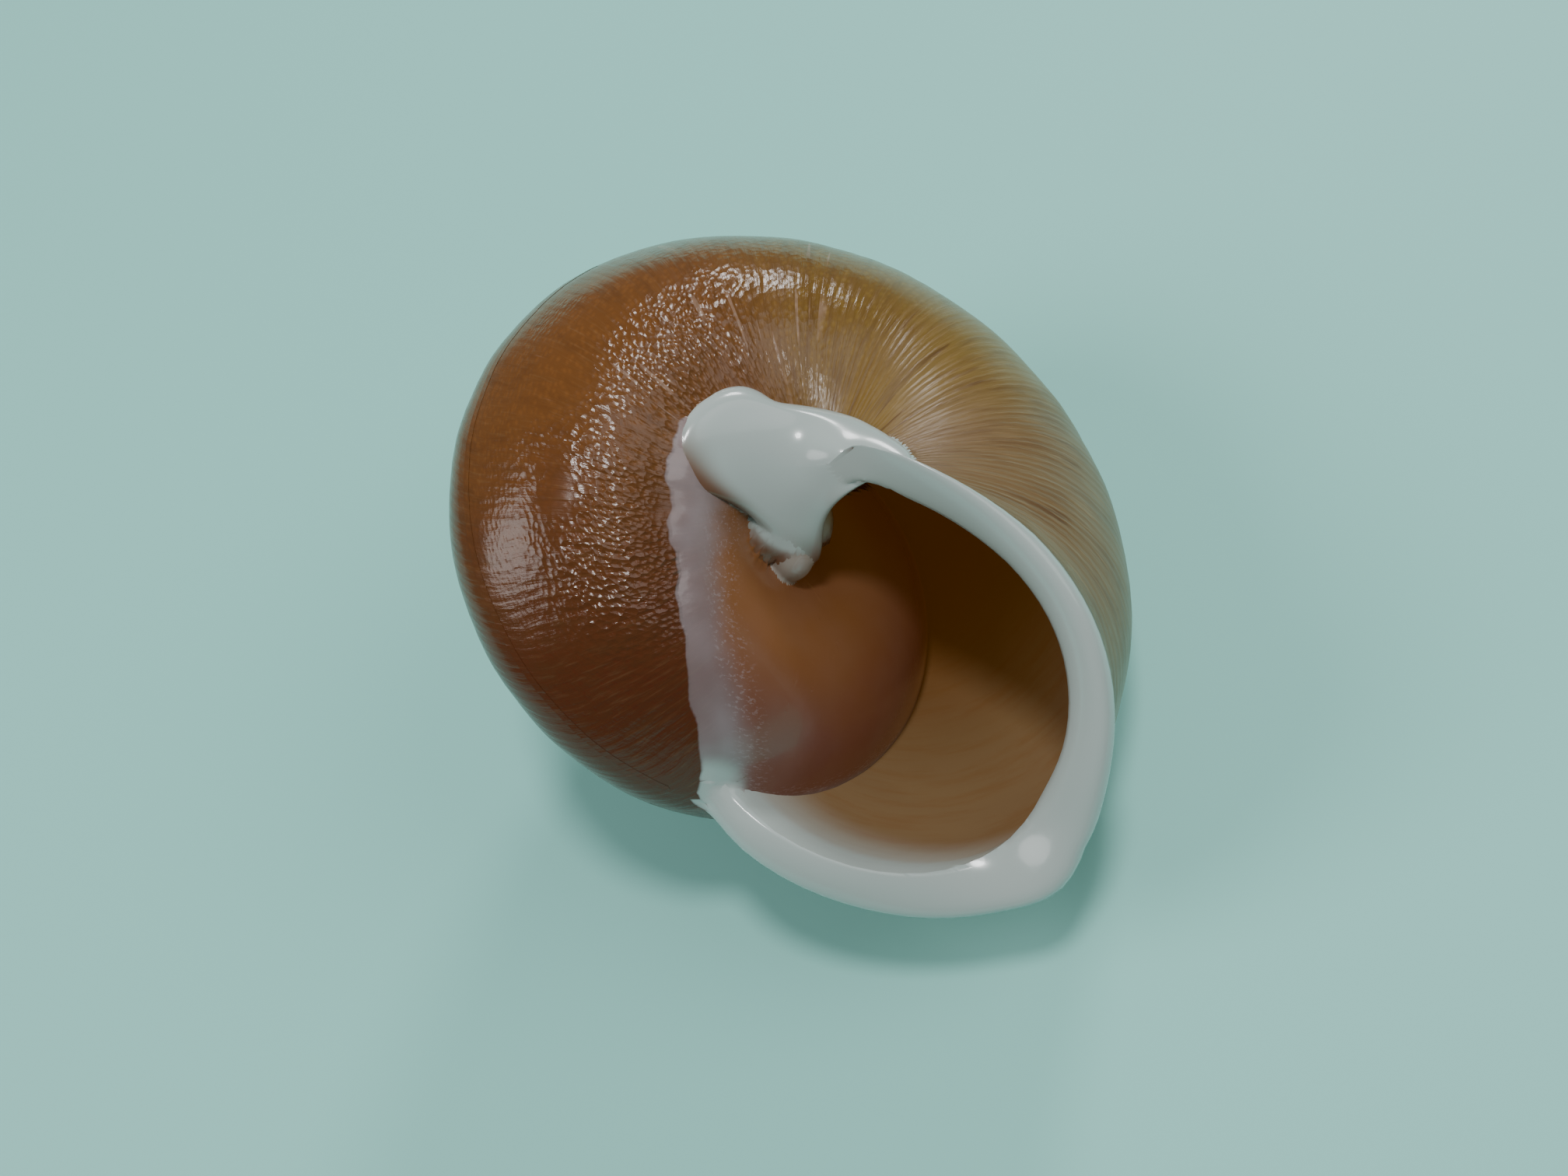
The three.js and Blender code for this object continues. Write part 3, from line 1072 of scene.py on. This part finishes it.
class SNAIL_OT_stage(bpy.types.Operator):
    """Set the floor, the lights and the camera"""

    bl_idname = "snail.stage"
    bl_label = "Stage"

    def execute(self, context):
        settings = context.scene.snail_stage
        bpy.ops.object.select_all(action="DESELECT")
        bpy.ops.mesh.primitive_plane_add(size=2.0, location=(0, 0, 0))
        floor = context.object
        floor.name = "floor"
        floor.data.materials.append(plain_finish("floor", tuple(settings.floor), 0.6))
        for name, place_at, size, power, shine in LIGHTS:
            bpy.ops.object.light_add(type="AREA", location=place_at)
            light = context.object
            light.name = name
            light.data.shape = "DISK"
            light.data.size = size
            light.data.energy = power * settings.key
            light.data.specular_factor = shine
            light.rotation_euler = (-Vector(place_at)).to_track_quat("-Z", "Y").to_euler()
        world = bpy.data.worlds.new("studio")
        world.use_nodes = True
        background = world.node_tree.nodes["Background"]
        background.inputs["Color"].default_value = WORLD_COLOUR
        background.inputs["Strength"].default_value = WORLD_STRENGTH
        context.scene.world = world
        bpy.ops.object.camera_add(location=CAMERA_PLACE, rotation=CAMERA_TURN)
        camera = context.object
        camera.data.lens = settings.lens
        camera.data.sensor_width = 36.0
        camera.data.clip_start = 0.005
        camera.data.clip_end = 20.0
        context.scene.camera = camera
        return {"FINISHED"}


class SNAIL_PT_panel(bpy.types.Panel):
    """The shell's and the stage's operators, with their settings"""

    bl_idname = "SNAIL_PT_panel"
    bl_label = "Land snail shell"
    bl_space_type = "VIEW_3D"
    bl_region_type = "UI"
    bl_category = "Shell"

    def draw(self, context):
        scene = context.scene
        self.listed(SNAIL_OT_shell, scene.snail_growth, scene.snail_colours)
        self.listed(SNAIL_OT_stage, scene.snail_stage)

    def listed(self, operator, *groups):
        """One operator and the settings that it goes by."""
        box = self.layout.box()
        box.operator(operator.bl_idname)
        for group in groups:
            for key in type(group).__annotations__:
                box.prop(group, key)


CLASSES = (
    GrowthSettings,
    ShellColours,
    StageSettings,
    SNAIL_OT_shell,
    SNAIL_OT_stage,
    SNAIL_PT_panel,
)


def register():
    for cls in CLASSES:
        bpy.utils.register_class(cls)
    bpy.types.Scene.snail_growth = bpy.props.PointerProperty(type=GrowthSettings)
    bpy.types.Scene.snail_colours = bpy.props.PointerProperty(type=ShellColours)
    bpy.types.Scene.snail_stage = bpy.props.PointerProperty(type=StageSettings)


def unregister():
    del bpy.types.Scene.snail_stage
    del bpy.types.Scene.snail_colours
    del bpy.types.Scene.snail_growth
    for cls in reversed(CLASSES):
        bpy.utils.unregister_class(cls)


def main():
    register()
    bpy.ops.snail.shell()
    bpy.ops.snail.stage()


if __name__ == "__main__":
    main()
